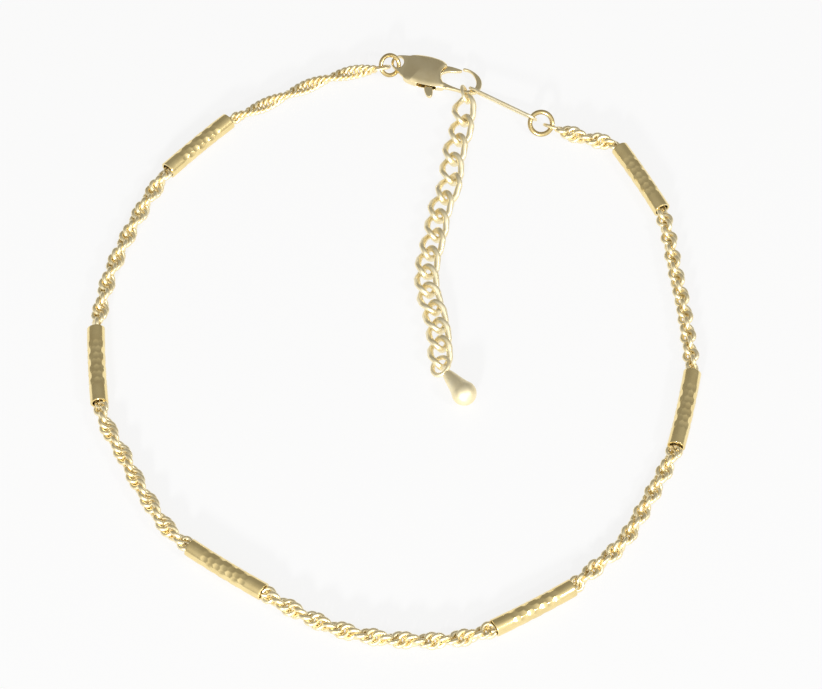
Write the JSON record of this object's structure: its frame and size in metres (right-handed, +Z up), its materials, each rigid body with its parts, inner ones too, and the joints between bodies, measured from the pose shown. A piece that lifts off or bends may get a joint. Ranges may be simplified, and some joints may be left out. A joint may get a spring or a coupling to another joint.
{
  "type": "chain anklet",
  "caption": "Closed gold chain anklet: short faceted tube bars between twisted chains, claw clasp with sprung lever, extension chain with a drop.",
  "frame": {"origin": "centre of the bounding box at its bottom, on the surface that the anklet lies on", "axes": "+Z up, +Y towards the clasp's side of the loop, +X to the right as the picture shows it"},
  "size_m": [0.0714, 0.0816, 0.0029],
  "materials": {
    "chain_gold": "polished",
    "bar_gold": "polished",
    "clasp_gold": "polished"
  },
  "bodies": {
    "anklet": {"clasp_body": "clasp_gold", "clasp_ring": "clasp_gold", "end_ring": "clasp_gold", "connector_link": "clasp_gold", "chain_1": "chain_gold", "chain_2": "chain_gold", "chain_3": "chain_gold", "chain_4": "chain_gold", "chain_5": "chain_gold", "chain_6": "chain_gold", "chain_7": "chain_gold", "bar_1": "bar_gold", "bar_2": "bar_gold", "bar_3": "bar_gold", "bar_4": "bar_gold", "bar_5": "bar_gold", "bar_6": "bar_gold", "extender_link_1": "chain_gold", "extender_link_2": "chain_gold", "extender_link_3": "chain_gold", "extender_link_4": "chain_gold", "extender_link_5": "chain_gold", "extender_link_6": "chain_gold", "extender_link_7": "chain_gold", "extender_link_8": "chain_gold", "extender_link_9": "chain_gold", "extender_link_10": "chain_gold", "extender_link_11": "chain_gold", "extender_link_12": "chain_gold", "extender_link_13": "chain_gold", "extender_link_14": "chain_gold", "extender_link_15": "chain_gold", "end_drop": "chain_gold"},
    "lever": {"clasp_lever": "clasp_gold"}
  },
  "joints": [
    {"name": "lever_turn", "type": "hinge", "parent": "anklet", "child": "lever", "pos_m": [0.00499, 0.03838, 0.00075], "axis": [0, 0, 1], "range_deg": [-16, 0], "stiffness_Nm_per_rad": 0.005, "springref_deg": 9.17}
  ]
}
